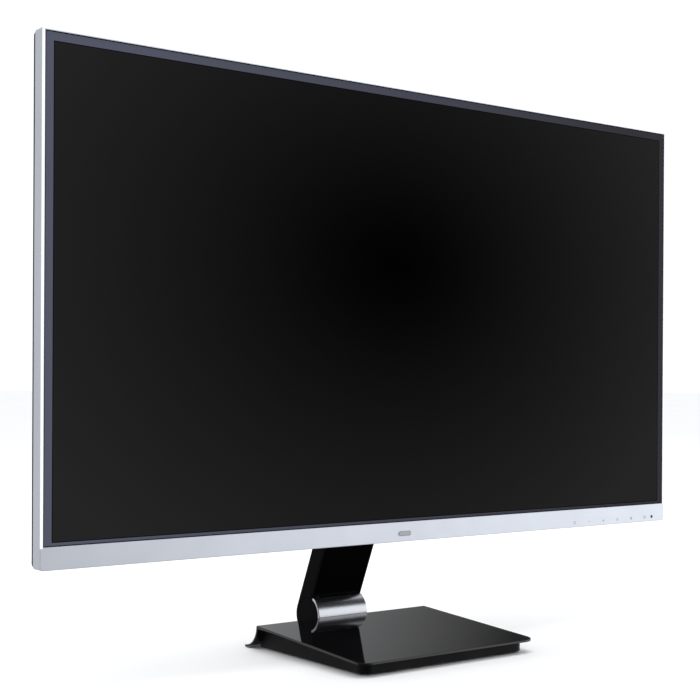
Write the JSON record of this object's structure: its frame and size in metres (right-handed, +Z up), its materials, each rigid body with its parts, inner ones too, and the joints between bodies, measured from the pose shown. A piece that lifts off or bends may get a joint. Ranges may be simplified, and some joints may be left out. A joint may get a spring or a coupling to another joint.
{
  "type": "computer monitor",
  "caption": "Wide flat desktop monitor with a slim silver frame and chin, on a low black base with a barrel tilt hinge, a leaning flat arm and underside push keys.",
  "frame": {"origin": "on the desk plane, under the middle of the object's bounding box", "axes": "+Z up, the screen faces -Y, and +X is to the right of someone who looks along +Y at the screen"},
  "size_m": [0.6122, 0.178, 0.4504],
  "materials": {
    "satin_silver": "satin silver paint, finely grained",
    "base_gloss": "mirror gloss lacquer on bent steel sheet",
    "gloss_black": "mirror gloss",
    "textured_black": "fine moulded texture",
    "chrome": "satin chrome, brushed along the barrel",
    "steel": "plated sheet",
    "brass": "turned",
    "rubber": "matte",
    "screen": "anti-glare, switched off",
    "clear": "clear acrylic",
    "film": "white diffusing film",
    "board": "green solder mask",
    "ribbon": "flat flexible cable"
  },
  "bodies": {
    "stand": {"base_plate": "base_gloss", "base_tray": "textured_black", "base_weight": "steel", "rubber_foot_1": "rubber", "rubber_foot_2": "rubber", "rubber_foot_3": "rubber", "rubber_foot_4": "rubber", "hinge_bracket": "steel", "bracket_screw_1": "steel", "bracket_screw_2": "steel"},
    "head": {"hinge_shaft": "steel", "friction_disc_left": "brass", "friction_disc_right": "brass", "spring_washer": "steel", "hinge_nut": "steel", "hinge_cover": "chrome", "end_cap_left": "gloss_black", "end_cap_right": "gloss_black", "arm_front_cover": "gloss_black", "arm_rear_cover": "gloss_black", "arm_core": "steel", "arm_screw_1": "steel", "arm_screw_2": "steel", "front_bezel": "satin_silver", "badge": "chrome", "button_board": "board", "status_light": "clear", "lcd_panel": "screen", "optical_films": "film", "light_guide": "clear", "led_strip": "board", "panel_chassis": "steel", "mount_plate": "steel", "mount_insert_1": "brass", "mount_insert_2": "brass", "mount_insert_3": "brass", "mount_insert_4": "brass", "rear_cover": "textured_black", "cover_screw_1": "steel", "cover_screw_2": "steel", "cover_screw_3": "steel", "cover_screw_4": "steel", "port_recess": "textured_black", "power_socket": "textured_black", "audio_socket": "textured_black", "hdmi_socket": "steel", "displayport_socket": "steel", "main_board": "board", "power_board": "board", "timing_board": "board", "ribbon_cable": "ribbon"},
    "menu_key": {"button_menu": "satin_silver"},
    "minus_key": {"button_minus": "satin_silver"},
    "plus_key": {"button_plus": "satin_silver"},
    "source_key": {"button_source": "satin_silver"},
    "auto_key": {"button_auto": "satin_silver"},
    "power_key": {"button_power": "satin_silver"}
  },
  "joints": [
    {"name": "tilt", "type": "hinge", "parent": "stand", "child": "head", "pos_m": [0, 0.07205, 0.0196], "axis": [-1, 0, 0], "range_deg": [-5, 15]},
    {"name": "menu_press", "type": "slide", "parent": "head", "child": "menu_key", "axis": [0, 0, 1], "range_m": [0, 0.0006], "stiffness_N_per_m": 600},
    {"name": "minus_press", "type": "slide", "parent": "head", "child": "minus_key", "axis": [0, 0, 1], "range_m": [0, 0.0006], "stiffness_N_per_m": 600},
    {"name": "plus_press", "type": "slide", "parent": "head", "child": "plus_key", "axis": [0, 0, 1], "range_m": [0, 0.0006], "stiffness_N_per_m": 600},
    {"name": "source_press", "type": "slide", "parent": "head", "child": "source_key", "axis": [0, 0, 1], "range_m": [0, 0.0006], "stiffness_N_per_m": 600},
    {"name": "auto_press", "type": "slide", "parent": "head", "child": "auto_key", "axis": [0, 0, 1], "range_m": [0, 0.0006], "stiffness_N_per_m": 600},
    {"name": "power_press", "type": "slide", "parent": "head", "child": "power_key", "axis": [0, 0, 1], "range_m": [0, 0.0006], "stiffness_N_per_m": 600}
  ]
}
